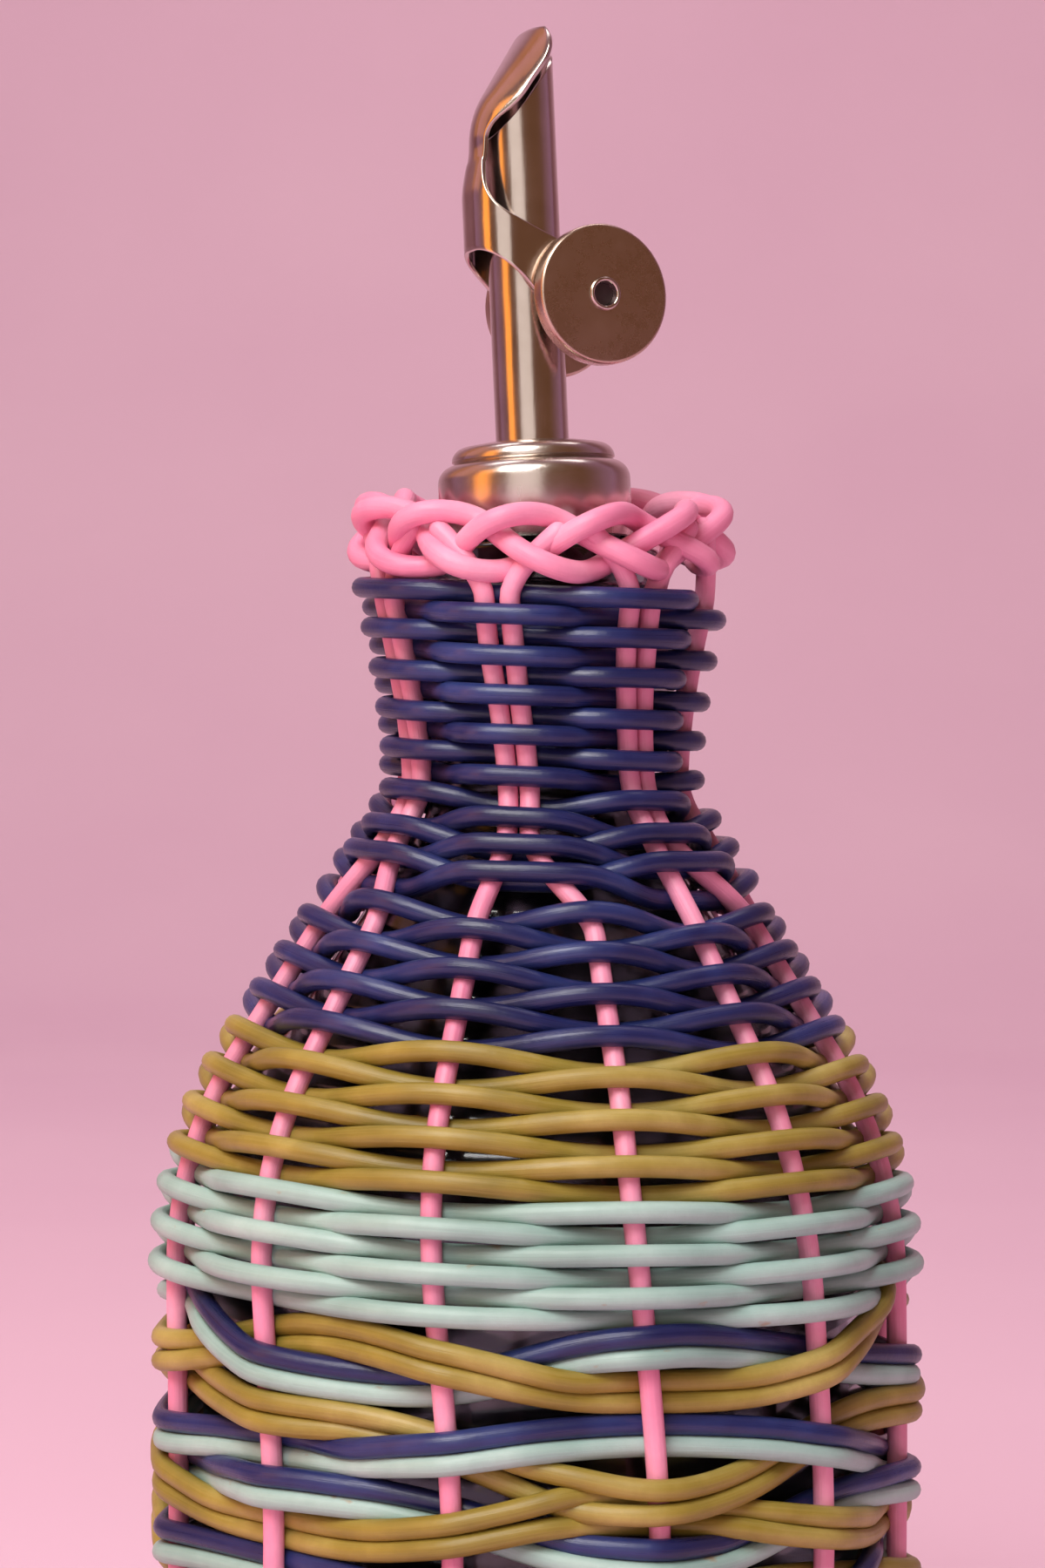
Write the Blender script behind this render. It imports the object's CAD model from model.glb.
import math

import bmesh
import bpy
import numpy as np
from mathutils import Matrix, Vector, kdtree


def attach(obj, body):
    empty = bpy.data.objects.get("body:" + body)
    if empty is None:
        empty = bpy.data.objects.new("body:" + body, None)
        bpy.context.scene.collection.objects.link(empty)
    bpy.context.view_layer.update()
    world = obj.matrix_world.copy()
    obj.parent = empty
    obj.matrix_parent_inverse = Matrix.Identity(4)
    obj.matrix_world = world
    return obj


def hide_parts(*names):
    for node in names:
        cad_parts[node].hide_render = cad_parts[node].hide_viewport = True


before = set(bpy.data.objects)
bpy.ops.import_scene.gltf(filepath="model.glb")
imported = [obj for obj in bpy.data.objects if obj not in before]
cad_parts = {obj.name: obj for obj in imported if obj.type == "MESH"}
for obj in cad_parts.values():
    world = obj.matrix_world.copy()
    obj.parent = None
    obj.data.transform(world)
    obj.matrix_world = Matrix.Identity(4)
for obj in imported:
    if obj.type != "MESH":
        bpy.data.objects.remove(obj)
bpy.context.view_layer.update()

MM = 0.001
radians = math.radians

# Angles over which an edge stays sharp
STEEL_SHARP = 40
RUBBER_SHARP = 45
GLASS_SHARP = 50

# Sizes that the dressed pieces follow, in millimetres and degrees
CLEARANCE = 0.3
BODY_RADIUS = 47.4
BODY_HEIGHT = 83.6
HEEL_RADIUS = 9.0
SHOULDER_RADIUS = 52.0
SHOULDER_SLOPE = 33.0
NECK_FILLET = 17.0
NECK_RADIUS = 15.0
NECK_FLARE = 2.5
NECK_LENGTH = 25.0
LIP_OVERHANG = 1.0
LIP_HEIGHT = 6.0
LIP_ROUND = 1.1
BORE_RADIUS = 11.4
GLASS_WALL = 3.2
GLASS_FLOOR = 5.0
BASE_HEIGHT = 4.1
BASE_RADIUS = 42.0
STAKES = 13
STAKE_PHASE = -1.0
STAKE_OFFSET = 5.0
STAKE_TUCK = 55.0
FRONT_SPREAD = 4.3
SINGLE_STAKE = 8
NECK_UNITS = 7
NECK_PHASE = -15.0
POURER_LEAN = 3.0
POURER_TURN = 26.0
LEAN_DEPTH = 12.0

# How the stakes' pairs open, twist, part and drift on their way down, and the height where each starts
PAIR_SPREAD = 1.06
PAIR_FOOT = 150.0
PAIR_OPENING = 0.3
OPENING_FROM = 165.0
OPENING_RUN = 12.0
NECK_TWIST = 8.0
TWIST_FROM = 182.0
TWIST_RUN = 34.0
PARTING_FROM = 150.5
PARTING_RUN = 14.5
BODY_DRIFT = 4.5
DRIFT_FROM = 112.0
DRIFT_RUN = 58.0

# The cord as it looks, how far a weaver swings to each side of the stakes, and how its rows lie
CORD = 1.46
STAKE_CORD = 1.42
CORD_SIDES = 14
REACH = 2.2
ROW_PITCH = 2.8
NECK_TILT = 0.13
BODY_TILT = 0.45
BACK_TILT = 1.25
NECK_SPREAD = 2.8
SPREAD_DEPTH = 23.0
SPREAD_POWER = 1.7
PATH_ABOVE = 12.0

# Front heights of the winding's rows, counted from the top; the rows between follow in even steps
ROW_KNOTS = ((0, 182.3), (11, 151.9), (15, 144.5), (16, 139.6), (25, 116.0), (35, 88.0))
NECK_ROWS = 16
OLIVE_FROM = 23
MINT_FROM = 30
MINT_END = 36

# Points in a turn, share of a turn left between cord ends behind a stake, and room beside a pair of stakes
NECK_SAMPLES = 132
BODY_SAMPLES = 156
END_GAP = 0.002
PASS_MARGIN = 1.1

# How far a row rides up in front of a stake and dips behind it, by row
LIFT_KNOTS = ((0, 0.05), (10, 0.08), (13, 0.4), (15, 0.5), (16.5, 0.3), (36, 0.2))

# Routes of the two waved pairs: angle from the front and height of the pair's middle
NAVY_MINT_ROUTE = (
    (-150, 83), (-115, 81), (-92, 84.5), (-66, 85.5), (-46, 79.6), (-30, 78.6), (-12, 77.6),
    (0, 81.2), (16, 85.9), (37, 81.8), (60, 77.9), (85, 73.4), (105, 71.5), (130, 76.5),
    (152, 79), (179, 75), (206, 69), (232, 68.5), (259, 67), (275, 65.7), (318, 68.4),
    (344, 70.1), (370, 72.9), (405, 69.6), (422, 65.1), (445, 60.5), (465, 58.5), (490, 62.5),
    (512, 66), (539, 64), (566, 58.5), (592, 56.5), (619, 58), (640, 60.5), (658, 62.3),
    (678, 64), (707, 62.3), (721, 58.4), (737, 56.2), (755, 56.8), (771, 60.7), (790, 60.5),
    (805, 58), (825, 52), (850, 48.5), (872, 52), (899, 55), (926, 52.5), (952, 47.5),
    (979, 48), (995, 50.1), (1035, 52.9), (1064, 51), (1093, 45.5), (1123, 46.5),
    (1152, 50.5), (1179, 50), (1206, 46), (1232, 44.5), (1250, 44.5),
)
OLIVE_ROUTE = (
    (-155, 75.5), (-115, 79), (-85, 76.8), (-60, 78.2), (-44, 83.2), (-34, 85.2), (-12, 82.4),
    (2, 79.0), (19, 77.3), (45, 79), (66, 85.1), (80, 85.4), (105, 82.3), (130, 77),
    (152, 72.5), (179, 76), (206, 81), (232, 79.5), (259, 74), (280, 74.5), (299, 75.1),
    (314, 74), (326, 72.6), (347, 71.4), (358, 66.8), (377, 63.4), (398, 65.7), (411, 71.2),
    (445, 70.7), (465, 70), (490, 65), (512, 58.5), (539, 58), (566, 64.5), (592, 66.5),
    (619, 63.5), (635, 62.5), (662, 58.5), (680, 56.2), (707, 59.6), (726, 62.9), (748, 60.7),
    (768, 57.9), (791, 54), (805, 53.5), (825, 57.5), (850, 57), (872, 50), (899, 46.5),
    (926, 50), (952, 54), (979, 52.5), (1010, 46.5), (1034, 45), (1064, 46), (1093, 51),
    (1123, 50.5), (1152, 46), (1179, 43.5), (1206, 47), (1240, 49),
)

# Where the waves run, in heights and angles, and how many stakes are counted past a cord's ends
WAVE_TOP = 93.0
WAVE_FOOT = 38.0
WAVE_START = -155.0
WAVE_END = 1250.0
WAVE_STEP = 2.0
WAVE_TURNS = 4
SPARE_STAKES = 8

# How two pairs part where they cross, and how the cords are then settled against each other
CROSS_REACH = 13.0
CROSS_EASE = 6.0
CROSS_SWING = 0.62
PAIR_SQUEEZE = 0.04
SETTLE_ROUNDS = 30
SETTLE_SQUEEZE = 0.06
PUSH = 0.25
FIXED_PUSH = 0.4
PULL_BACK = 0.02
SMOOTHING = 0.4
SMOOTH_PASSES = 3
NEIGHBOURS = 8
STAKE_STEP = 1.5
MINT_NEAR_WAVES = 320

# Plain bands under the waves
LOWER_TOP = 39.5
LOWER_MINT_TURNS = 2
LOWER_OLIVE_TURNS = 3
LOWER_LIFT = 0.2
FOOT_GAP = 0.4
FOOT_ROOM = 0.6

# Plaited rim, and how the stakes' ends reach up and out into it
BRAID_WAVES = 4
BRAID_CORD = 1.62
BRAID_RADIUS = 24.1
BRAID_RISE = 4.0
BRAID_SWING = 2.2
BRAID_TURN = 12.0
BRAID_TILT = 3.0
BRAID_SINK = 0.3
HOOK_FROM = 2.0
HOOK_RISE = 7.0
HOOK_SPREAD = 11.0
HOOK_DRAW = 0.9


def smooth(t):
    t = np.clip(t, 0.0, 1.0)
    return t * t * (3 - 2 * t)


def wrap(angle):
    return (angle + 180.0) % 360.0 - 180.0


def ease(x, knots, values):
    """Cosine curve through knots."""
    knots = np.asarray(knots)
    values = np.asarray(values)
    i = np.clip(np.searchsorted(knots, x) - 1, 0, len(knots) - 2)
    t = np.clip((x - knots[i]) / (knots[i + 1] - knots[i]), 0, 1)
    return values[i] + (values[i + 1] - values[i]) * 0.5 * (1 - np.cos(math.pi * t))


def flowing(x, route):
    """Smooth curve through a route, with slopes taken from the neighbours."""
    knots, values = np.array(route, float).T
    rise = np.diff(values) / np.diff(knots)
    lean = np.concatenate([[rise[0]], 0.5 * (rise[1:] + rise[:-1]), [rise[-1]]])
    i = np.clip(np.searchsorted(knots, x) - 1, 0, len(knots) - 2)
    h = knots[i + 1] - knots[i]
    t = np.clip((x - knots[i]) / h, 0, 1)
    start = (2 * t**3 - 3 * t**2 + 1) * values[i] + (t**3 - 2 * t**2 + t) * h * lean[i]
    end = (-2 * t**3 + 3 * t**2) * values[i + 1] + (t**3 - t**2) * h * lean[i + 1]
    return start + end


# Outline of the glass
slope = radians(SHOULDER_SLOPE)
flare = radians(NECK_FLARE)
glass_bottom = BASE_HEIGHT + CLEARANCE
heel_z = glass_bottom + HEEL_RADIUS
shoulder_z = glass_bottom + BODY_HEIGHT
shoulder_drop = SHOULDER_RADIUS * (1 - math.cos(slope))
fillet_drop = NECK_FILLET * (1 - math.cos(slope))
cone_length = (BODY_RADIUS - NECK_RADIUS - shoulder_drop - fillet_drop) / math.sin(slope)
cone_z = shoulder_z + SHOULDER_RADIUS * math.sin(slope)
waist_z = cone_z + cone_length * math.cos(slope) + NECK_FILLET * math.sin(slope)
neck_radius = NECK_RADIUS + NECK_FILLET * (1 - math.cos(flare))
neck_z = waist_z + NECK_FILLET * math.sin(flare)
neck_top_radius = neck_radius + NECK_LENGTH * math.sin(flare)
neck_top_z = neck_z + NECK_LENGTH * math.cos(flare)
lip_radius = neck_top_radius + LIP_OVERHANG
mouth_z = neck_top_z + LIP_HEIGHT


def arc(r, z, radius, start, end, steps):
    angles = np.radians(np.linspace(start, end, steps + 1))
    return np.column_stack([r + radius * np.cos(angles), z + radius * np.sin(angles)])


def stake_path():
    """Depth below the neck's top, radius, height and lean of the stakes' path, from the top down."""
    rows = []
    heel = HEEL_RADIUS + STAKE_OFFSET
    shoulder = SHOULDER_RADIUS + STAKE_OFFSET
    fillet = NECK_FILLET - STAKE_OFFSET
    for a in np.linspace(-radians(STAKE_TUCK), 0, 60):
        rows.append((BODY_RADIUS - HEEL_RADIUS + heel * math.cos(a), heel_z + heel * math.sin(a), a))
    for a in np.linspace(0, slope, 60):
        r = BODY_RADIUS - SHOULDER_RADIUS + shoulder * math.cos(a)
        rows.append((r, shoulder_z + shoulder * math.sin(a), a))
    for a in np.linspace(slope, -flare, 60):
        rows.append((NECK_RADIUS + NECK_FILLET - fillet * math.cos(a), waist_z - fillet * math.sin(a), a))
    r, z, _ = rows[-1]
    for step in np.linspace(0, NECK_LENGTH + PATH_ABOVE, 80)[1:]:
        height = z + step * math.cos(flare)
        spread = max(0.0, height - neck_top_z + SPREAD_DEPTH) / SPREAD_DEPTH
        rows.append((r + step * math.sin(flare) + NECK_SPREAD * spread**SPREAD_POWER, height, -flare))
    table = np.array(rows)[::-1]
    run = np.concatenate([[0], np.cumsum(np.hypot(np.diff(table[:, 0]), np.diff(table[:, 1])))])
    top = np.interp(-neck_top_z, -table[:, 1], run)
    return run - top, table[:, 0], table[:, 1], table[:, 2]


PATH_DEPTH, PATH_R, PATH_Z, PATH_LEAN = stake_path()
PATH_END = PATH_DEPTH[-1]
FRONT_Z = PATH_Z + REACH * np.sin(PATH_LEAN)


def surface(depth):
    return tuple(np.interp(depth, PATH_DEPTH, column) for column in (PATH_R, PATH_Z, PATH_LEAN))


def depth_of(z, heights=PATH_Z):
    return np.interp(-np.asarray(z, float), -heights, PATH_DEPTH)


def place(depth, angle, out):
    """Centres and outward directions on the weave, at angles from the front, positive to the right."""
    r, z, lean = surface(depth)
    a = np.radians(angle)
    reach = r + out * np.cos(lean)
    centre = np.column_stack([reach * np.sin(a), -reach * np.cos(a), z + out * np.sin(lean)])
    outward = np.column_stack([np.cos(lean) * np.sin(a), -np.cos(lean) * np.cos(a), np.sin(lean)])
    return centre, outward


# Mesh helpers
def add_mesh(name, verts, faces):
    """A smooth object from vertices in metres."""
    mesh = bpy.data.meshes.new(name)
    mesh.from_pydata(verts, [], faces)
    mesh.polygons.foreach_set("use_smooth", [True] * len(mesh.polygons))
    obj = bpy.data.objects.new(name, mesh)
    bpy.context.scene.collection.objects.link(obj)
    return obj


def make(name, parts):
    """One smooth object out of several (vertices, faces, texture places)."""
    verts, faces, uvs = [], [], []
    base = 0
    for v, f, u in parts:
        verts.append(v)
        faces += [tuple(i + base for i in face) for face in f]
        uvs += u
        base += len(v)
    obj = add_mesh(name, [tuple(p) for p in np.concatenate(verts) * MM], faces)
    layer = obj.data.uv_layers.new(name="length")
    layer.data.foreach_set("uv", np.asarray(uvs, np.float32).ravel())
    return obj


def dress(obj, body, material, node):
    obj.data.materials.clear()
    obj.data.materials.append(material)
    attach(obj, body)
    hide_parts(node)


def make_solid(name, parts, sharp, body, material, node):
    """A hard piece with its faces turned outwards, whose edges over an angle stay sharp."""
    obj = make(name, parts)
    work = bmesh.new()
    work.from_mesh(obj.data)
    bmesh.ops.recalc_face_normals(work, faces=work.faces)
    work.to_mesh(obj.data)
    work.free()
    obj.data.set_sharp_from_angle(angle=radians(sharp))
    dress(obj, body, material, node)


def make_cord(name, cord, slot, node):
    """A cord of the weave, which rides on the bottle."""
    dress(make(name, [cord]), "bottle", CORD_LOOKS[slot], node)


def tube(centres, outward, radius, looped=False):
    """A round cord through centres, with domed ends unless it is looped."""
    centres = np.asarray(centres, float)
    count = len(centres)
    if looped:
        along = np.roll(centres, -1, 0) - np.roll(centres, 1, 0)
    else:
        along = np.gradient(centres, axis=0)
    along /= np.linalg.norm(along, axis=1)[:, None]
    normal = outward - (outward * along).sum(1)[:, None] * along
    normal /= np.linalg.norm(normal, axis=1)[:, None]
    side = np.cross(normal, along)
    length = np.concatenate([[0], np.cumsum(np.linalg.norm(np.diff(centres, axis=0), axis=1))])
    rings = [(centres[i], i, radius, length[i]) for i in range(count)]
    if not looped:
        last = count - 1
        for up, share in ((0.45, 0.89), (0.8, 0.6), (0.95, 0.3)):
            head = centres[0] - along[0] * radius * up
            tail = centres[last] + along[last] * radius * up
            rings.insert(0, (head, 0, radius * share, -up))
            rings.append((tail, last, radius * share, length[last] + up))
    angles = 2 * math.pi * np.arange(CORD_SIDES) / CORD_SIDES
    verts = []
    for c, i, r, _ in rings:
        verts.append(c + r * (np.cos(angles)[:, None] * normal[i] + np.sin(angles)[:, None] * side[i]))
    faces, uvs = [], []
    total = len(rings)
    closing = np.linalg.norm(centres[0] - centres[-1])
    for i in range(total if looped else total - 1):
        j = (i + 1) % total
        v0 = 0.01 * rings[i][3]
        v1 = 0.01 * (rings[j][3] if j else rings[i][3] + closing)
        for k in range(CORD_SIDES):
            m = (k + 1) % CORD_SIDES
            faces.append([CORD_SIDES * a + b for a, b in ((i, k), (j, k), (j, m), (i, m))])
            u0 = k / CORD_SIDES
            u1 = (k + 1) / CORD_SIDES
            uvs += [(u0, v0), (u0, v1), (u1, v1), (u1, v0)]
    if not looped:
        faces.append(tuple(range(CORD_SIDES)))
        faces.append(tuple((total - 1) * CORD_SIDES + k for k in reversed(range(CORD_SIDES))))
        uvs += [(k / CORD_SIDES, 0.0) for k in range(2 * CORD_SIDES)]
    return np.concatenate(verts), faces, uvs


def lathe(profile, segments=96, ring=True, matrix=None):
    """Turned piece about Z; a ring profile closes on itself, otherwise it starts and ends on the axis."""
    profile = np.asarray(profile, float)
    count = len(profile)
    angles = 2 * math.pi * np.arange(segments) / segments
    verts, index = [], []
    for r, z in profile:
        if r < 1e-6:
            index.append([len(verts)] * segments)
            verts.append((0.0, 0.0, z))
        else:
            index.append(list(range(len(verts), len(verts) + segments)))
            verts += [(r * math.cos(a), r * math.sin(a), z) for a in angles]
    run = 0.01 * np.concatenate([[0], np.cumsum(np.hypot(*np.diff(profile, axis=0).T))])
    faces, uvs = [], []
    for i in range(count if ring else count - 1):
        j = (i + 1) % count
        for k in range(segments):
            kept = []
            for level, step in ((i, k), (i, k + 1), (j, k + 1), (j, k)):
                corner = index[level][step % segments]
                if corner not in [c[0] for c in kept]:
                    kept.append((corner, step / segments, run[level]))
            faces.append(tuple(c[0] for c in kept))
            uvs += [c[1:] for c in kept]
    verts = np.array(verts)
    if matrix is not None:
        verts = np.array([matrix @ Vector(v) for v in verts])
    return verts, faces, uvs


# Materials
def srgb(r, g, b):
    def line(c):
        c /= 255
        return c / 12.92 if c <= 0.04045 else ((c + 0.055) / 1.055) ** 2.4
    return (line(r), line(g), line(b), 1.0)


class Nodes:
    """A principled material with a few helpers to wire textures to it."""

    def __init__(self, name):
        self.material = bpy.data.materials.new(name)
        self.material.use_nodes = True
        self.tree = self.material.node_tree
        self.shader = self.tree.nodes["Principled BSDF"]
        self.coords = self.node("ShaderNodeTexCoord")

    def wire(self, socket, value):
        if isinstance(value, bpy.types.NodeSocket):
            self.tree.links.new(value, socket)
        else:
            socket.default_value = value

    def node(self, kind, inputs=None, **settings):
        made = self.tree.nodes.new(kind)
        for key, value in settings.items():
            setattr(made, key, value)
        for key, value in (inputs or {}).items():
            self.wire(made.inputs[key], value)
        return made

    def set(self, **values):
        for key, value in values.items():
            self.wire(self.shader.inputs[key.replace("_", " ")], value)

    def stretched(self, space, scale):
        inputs = {"Vector": self.coords.outputs[space], "Scale": scale}
        return self.node("ShaderNodeMapping", inputs).outputs["Vector"]

    def noise(self, where, scale, detail=2.0, rough=0.5):
        inputs = {"Vector": where, "Scale": scale, "Detail": detail, "Roughness": rough}
        return self.node("ShaderNodeTexNoise", inputs).outputs["Fac"]

    def ramp(self, fac, stops):
        made = self.node("ShaderNodeValToRGB", {"Fac": fac})
        band = made.color_ramp
        while len(band.elements) < len(stops):
            band.elements.new(0.5)
        for element, (at, colour) in zip(band.elements, stops):
            element.position = at
            element.color = colour
        return made.outputs["Color"]

    def mix(self, fac, a, b):
        made = self.node("ShaderNodeMix", data_type="RGBA")
        for key, value in (("Factor", fac), ("A", a), ("B", b)):
            self.wire([s for s in made.inputs if s.name == key and s.enabled][0], value)
        return [s for s in made.outputs if s.enabled][0]

    def range(self, fac, low, high, start=0.3, end=0.7):
        inputs = {"Value": fac, "From Min": start, "From Max": end, "To Min": low, "To Max": high}
        return self.node("ShaderNodeMapRange", inputs).outputs["Result"]

    def bump(self, height, strength, distance, normal=None):
        inputs = {"Height": height, "Strength": strength, "Distance": distance}
        if normal is not None:
            inputs["Normal"] = normal
        return self.node("ShaderNodeBump", inputs).outputs["Normal"]


def cord_look(name, dark, base, light, scuff=None, roughness=(0.36, 0.5)):
    """Satin plastic cord: cloudy colour, faint drawn streaks along it and, on some, small scuffs."""
    m = Nodes(name)
    here = m.coords.outputs["Object"]
    broad = m.noise(here, 55.0, 3.0)
    fine = m.noise(here, 900.0, 4.0, 0.65)
    streak = m.noise(m.stretched("UV", (26.0, 5.0, 1.0)), 1.0, 4.0, 0.6)
    colour = m.ramp(broad, [(0.32, dark), (0.5, base), (0.7, light)])
    colour = m.mix(m.range(streak, 0.0, 0.25), colour, light)
    colour = m.mix(m.range(fine, 0.16, 0.0), colour, dark)
    if scuff is not None:
        spots = m.noise(m.stretched("UV", (3.0, 16.0, 1.0)), 1.0, 3.0, 0.55)
        colour = m.mix(m.range(spots, 0.0, 0.7, 0.69, 0.76), colour, scuff)
    m.set(Base_Color=colour, IOR=1.5)
    m.set(Roughness=m.range(streak, *roughness))
    m.set(Normal=m.bump(streak, 0.22, 0.0004, m.bump(fine, 0.12, 0.0004)))
    return m.material


def steel_look(name, brush_scale, dark, light, roughness, scratch):
    """Polished stainless steel with a fine brushed grain and a cloudy tarnish."""
    m = Nodes(name)
    brush = m.noise(m.stretched("Object", brush_scale), 700.0, 5.0, 0.7)
    cloud = m.noise(m.coords.outputs["Object"], 90.0, 4.0, 0.6)
    m.set(Base_Color=m.ramp(cloud, [(0.3, dark), (0.7, light)]), Metallic=1.0)
    m.set(Roughness=m.range(m.mix(0.5, brush, cloud), *roughness, 0.35, 0.65))
    m.set(Normal=m.bump(brush, scratch, 0.0002))
    return m.material


def glass_look():
    m = Nodes("clear_glass_look")
    ripple = m.noise(m.coords.outputs["Object"], 38.0, 2.0)
    m.set(Base_Color=(0.28, 0.31, 0.33, 1), Transmission_Weight=1.0, IOR=1.5)
    m.set(Roughness=m.range(ripple, 0.06, 0.16))
    m.set(Normal=m.bump(ripple, 0.15, 0.001))
    return m.material


def rubber_look():
    m = Nodes("black_rubber_look")
    here = m.coords.outputs["Object"]
    cloud = m.noise(here, 120.0, 3.0)
    m.set(Base_Color=m.ramp(cloud, [(0.3, (0.010, 0.010, 0.011, 1)), (0.7, (0.022, 0.021, 0.021, 1))]))
    m.set(Roughness=m.range(cloud, 0.55, 0.75))
    m.set(Normal=m.bump(m.noise(here, 1500.0, 3.0, 0.6), 0.3, 0.0002))
    return m.material


PINK = (srgb(220, 120, 158), srgb(237, 146, 180), srgb(246, 170, 198))
NAVY = (srgb(18, 20, 58), srgb(26, 31, 80), srgb(46, 62, 120))
OLIVE = (srgb(112, 98, 28), srgb(146, 128, 48), srgb(186, 168, 96))
MINT = (srgb(130, 163, 155), srgb(154, 188, 180), srgb(178, 207, 200))
MINT_SCUFF = srgb(160, 126, 84)
CORD_LOOKS = {
    "pink_cord": cord_look("pink_cord_look", *PINK),
    "navy_cord": cord_look("navy_cord_look", *NAVY, roughness=(0.25, 0.38)),
    "olive_cord": cord_look("olive_cord_look", *OLIVE),
    "mint_cord": cord_look("mint_cord_look", *MINT, MINT_SCUFF),
}
HOLE_DARK = (0.06, 0.045, 0.05, 1)
HOLE_LIGHT = (0.10, 0.08, 0.085, 1)
STEEL_DARK = (0.50, 0.43, 0.38, 1)
STEEL_LIGHT = (0.60, 0.53, 0.48, 1)
TUBE_STEEL = steel_look("tube_steel_look", (1.0, 1.0, 0.04), STEEL_DARK, STEEL_LIGHT, (0.15, 0.24), 0.12)
CAP_STEEL = steel_look("cap_steel_look", (1.0, 1.0, 0.3), STEEL_DARK, STEEL_LIGHT, (0.20, 0.28), 0.08)
SHEET_STEEL = steel_look("sheet_steel_look", (1.0, 1.0, 0.2), STEEL_DARK, STEEL_LIGHT, (0.13, 0.22), 0.10)
DARK_STEEL = steel_look("dark_steel_look", (1.0, 1.0, 1.0), HOLE_DARK, HOLE_LIGHT, (0.40, 0.50), 0.05)
DISC_DARK = (0.50, 0.38, 0.30, 1)
DISC_LIGHT = (0.56, 0.44, 0.36, 1)
DISC_STEEL = steel_look("disc_steel_look", (1.0, 1.0, 1.0), DISC_DARK, DISC_LIGHT, (0.24, 0.32), 0.05)
GLASS = glass_look()
RUBBER = rubber_look()


# Stakes
def body_angle(stake):
    even = 360 / STAKES * (stake - 0.5)
    return even + STAKE_PHASE + FRONT_SPREAD * math.sin(radians(even))


def unit_of(stake):
    """The gathered unit on the neck that a stake belongs to, and its side of that unit."""
    if stake < SINGLE_STAKE:
        return stake // 2, -1 if stake % 2 == 0 else 1
    if stake == SINGLE_STAKE:
        return SINGLE_STAKE // 2, 0
    past = stake - SINGLE_STAKE - 1
    return SINGLE_STAKE // 2 + 1 + past // 2, -1 if past % 2 == 0 else 1


def stake_angle(stake, depth):
    """The pairs turn a little to the right down the neck, part at the shoulder and drift on down the body."""
    _, z, _ = surface(depth)
    r = surface(np.minimum(depth, depth_of(PAIR_FOOT)))[0]
    unit, side = unit_of(stake)
    opening = PAIR_OPENING * smooth((z - OPENING_FROM) / OPENING_RUN)
    half = np.degrees((PAIR_SPREAD * STAKE_CORD + opening) / r)
    spread = wrap(body_angle(stake)) + BODY_DRIFT * smooth((DRIFT_FROM - z) / DRIFT_RUN)
    twist = NECK_TWIST * smooth((TWIST_FROM - z) / TWIST_RUN)
    gathered = NECK_PHASE + 360 / NECK_UNITS * unit + twist + side * half
    gathered = spread + wrap(gathered - spread)
    return gathered + (spread - gathered) * smooth((PARTING_FROM - z) / PARTING_RUN)


def make_stakes():
    depth = np.linspace(-HOOK_RISE, PATH_END, 170)
    hook = np.maximum(HOOK_FROM - depth, 0) / HOOK_RISE
    for stake in range(STAKES):
        angle = stake_angle(stake, depth) + HOOK_SPREAD * unit_of(stake)[1] * hook**1.5
        centre, outward = place(depth, angle, -HOOK_DRAW * hook)
        centre[:, 2] += BRAID_TILT * (1 - np.cos(np.radians(angle))) * smooth(hook)
        cord = tube(centre, outward, STAKE_CORD)
        make_cord(f"stake_cord_{stake + 1:02d}", cord, "pink_cord", f"stake_{stake + 1:02d}")


# Plain weave: one winding whose rows pass outside one stake and inside the next
def lift_at(row):
    """Rows ride up where they pass in front of a stake and dip behind it."""
    return np.interp(row, *np.array(LIFT_KNOTS).T)


def row_depth(turns):
    """Depth of the winding at a number of turns; whole numbers are the front."""
    rows, heights = np.array(ROW_KNOTS, float).T
    z = np.interp(turns, rows, heights)
    z = np.where(turns > rows[-1], heights[-1] - ROW_PITCH * (turns - rows[-1]), z)
    z = np.where(turns < 0, heights[0] - ROW_PITCH * turns, z)
    round_part = 2 * math.pi * turns
    tilt = np.interp(turns, [0, NECK_ROWS], [NECK_TILT, BODY_TILT]) * np.sin(round_part)
    tilt -= np.interp(turns, [0, NECK_ROWS], [BACK_TILT, 0]) * (1 - np.cos(round_part))
    return depth_of(z, FRONT_Z) + lift_at(turns) + tilt


def step_of(index, count, single):
    """A stake's or unit's place round the bottle, counted from the front, negative to the left."""
    return index if index < single else index - count


def crossings(row, units):
    """Where a row passes the units, each a list of stakes, in turns, and the side that it takes."""
    found = []
    for index, unit in enumerate(units):
        step = step_of(index, len(units), units.index([SINGLE_STAKE]))
        side = 1 if (step + row + 1) % 2 == 0 else -1
        depth = row_depth(np.array([row + step / len(units)]))
        angles = [float(stake_angle(stake, depth)[0]) for stake in unit]
        angles = [a + 360 * round((360 * step / len(units) - a) / 360) for a in angles]
        margin = math.degrees(PASS_MARGIN * CORD / float(surface(depth)[0][0])) if row < NECK_ROWS else 0.0
        found.append((row + (min(angles) - margin) / 360, side))
        if margin:
            found.append((row + (max(angles) + margin) / 360, side))
    return found


BODY_STAKES = [[stake] for stake in range(STAKES)]
NECK_PAIRS = [[s for s in range(STAKES) if unit_of(s)[0] == unit] for unit in range(NECK_UNITS)]
CROSSINGS = []
for row in range(-1, MINT_END + 1):
    CROSSINGS += crossings(row, NECK_PAIRS if row < NECK_ROWS else BODY_STAKES)
CROSSINGS = np.array(sorted(CROSSINGS))


def tucked(turn, at, side):
    """The nearest place where a cord passes inside a stake, which hides its end."""
    inside = np.array(at)[np.array(side) < 0]
    return inside[np.argmin(np.abs(inside - turn))]


def wobble(turns):
    """The slight unevenness of a row wound by hand."""
    return 0.10 * np.sin(8.6 * turns + 0.6) + 0.07 * np.sin(19.5 * turns)


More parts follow.
